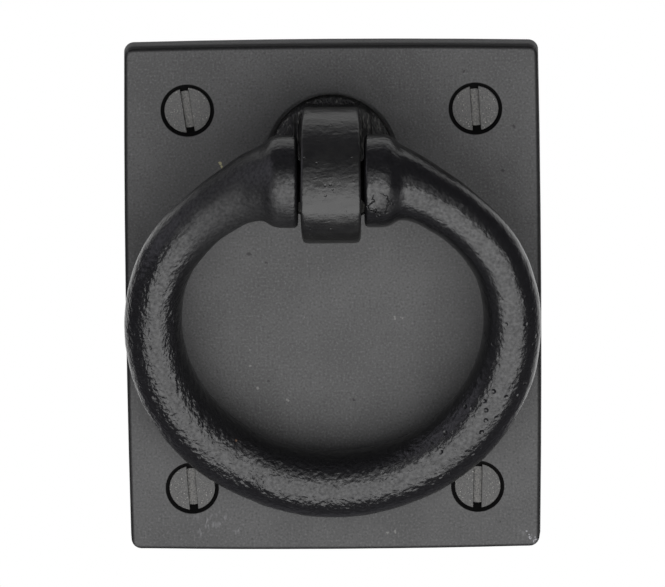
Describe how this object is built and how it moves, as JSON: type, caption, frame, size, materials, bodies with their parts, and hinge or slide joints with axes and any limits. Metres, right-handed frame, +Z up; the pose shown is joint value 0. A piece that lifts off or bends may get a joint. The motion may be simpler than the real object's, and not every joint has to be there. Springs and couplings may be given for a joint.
{
  "type": "ring pull handle",
  "caption": "Iron ring pull on a rectangular back plate: a round ring with barrel collars swings in a cast post, and countersunk wood screws fix the plate.",
  "frame": {"origin": "middle of the back plate's flat back face", "axes": "+Z up the plate as it hangs on a door, -Y out of the front towards the hand, +Y into the door, +X to the right seen from the front"},
  "size_m": [0.0654, 0.0427, 0.082],
  "materials": {
    "black_plate": "satin black powder coat over cast iron",
    "black_post": "satin black powder coat over rough dressed cast iron",
    "black_ring": "glossier black powder coat over sand-cast iron",
    "black_screw": "grainy black coated steel"
  },
  "bodies": {
    "backplate": {"plate": "black_plate", "post": "black_post", "screw_top_left": "black_screw", "screw_top_right": "black_screw", "screw_bottom_left": "black_screw", "screw_bottom_right": "black_screw"},
    "pull_ring": {"ring": "black_ring"}
  },
  "joints": [
    {"name": "ring_swing", "type": "hinge", "parent": "backplate", "child": "pull_ring", "pos_m": [0, -0.0195, 0.0229], "axis": [-1, 0, 0], "range_deg": [0, 219]}
  ]
}
